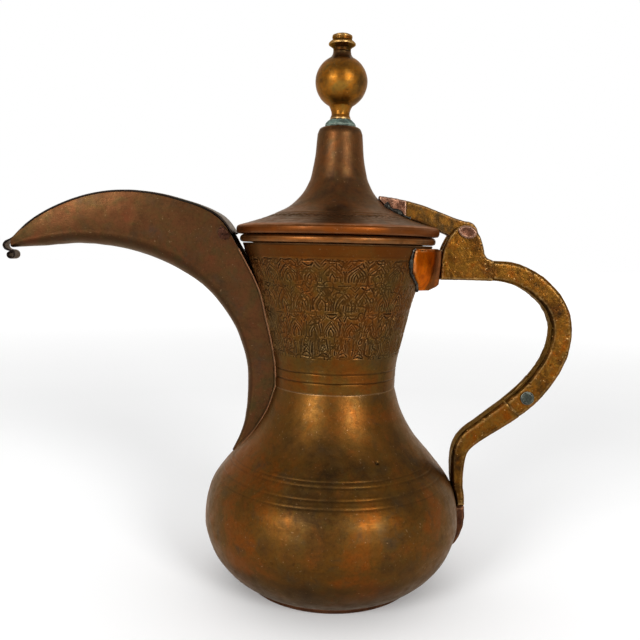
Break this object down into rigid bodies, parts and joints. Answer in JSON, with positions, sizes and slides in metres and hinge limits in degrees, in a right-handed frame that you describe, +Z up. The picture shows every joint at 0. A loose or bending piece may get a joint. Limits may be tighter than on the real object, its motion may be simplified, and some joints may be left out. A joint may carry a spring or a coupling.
{
  "type": "dallah coffee pot",
  "caption": "Arabic coffee pot in copper and brass: waisted body with engraved neck, deep crescent spout, riveted curved handle and hinged domed lid with a ball finial",
  "frame": {"origin": "centre of the flat underside of the base, on the axis of the body", "axes": "+Z up along the body's axis, spout toward -X, handle toward +X, +Y across, to the far side when the spout is on the left"},
  "size_m": [0.2812, 0.1278, 0.2709],
  "materials": {
    "copper_aged": "aged copper, mottled brown and olive patina, satin",
    "copper_dark": "dark red-brown oxidised copper",
    "copper_bright": "bright rubbed copper",
    "brass": "worn cast brass, pitted",
    "verdigris": "verdigris over brass",
    "solder": "dark grey braze and solder"
  },
  "bodies": {
    "pot": {"base_disc": "copper_dark", "belly_shell": "copper_aged", "neck_shell": "copper_aged", "spout_trough": "copper_aged", "spout_cover": "copper_dark", "spout_patch": "copper_dark", "handle_socket": "copper_bright", "socket_solder": "solder", "handle_upper": "brass", "handle_lower": "brass", "handle_rivet": "solder", "handle_shoe": "copper_dark", "hinge_pin": "copper_dark"},
    "lid": {"lid_dome": "copper_aged", "lid_ring": "brass", "lid_collar": "copper_dark", "finial_collar": "verdigris", "finial_knop": "brass", "finial_cap": "brass", "finial_stud": "copper_dark", "stud_washer": "copper_dark", "hinge_arm": "brass", "arm_sheath": "copper_dark", "arm_solder": "solder"}
  },
  "joints": [
    {"name": "lid_hinge", "type": "hinge", "parent": "pot", "child": "lid", "pos_m": [0.0632, 0, 0.1769], "axis": [0, 1, 0], "range_deg": [0, 105]}
  ]
}
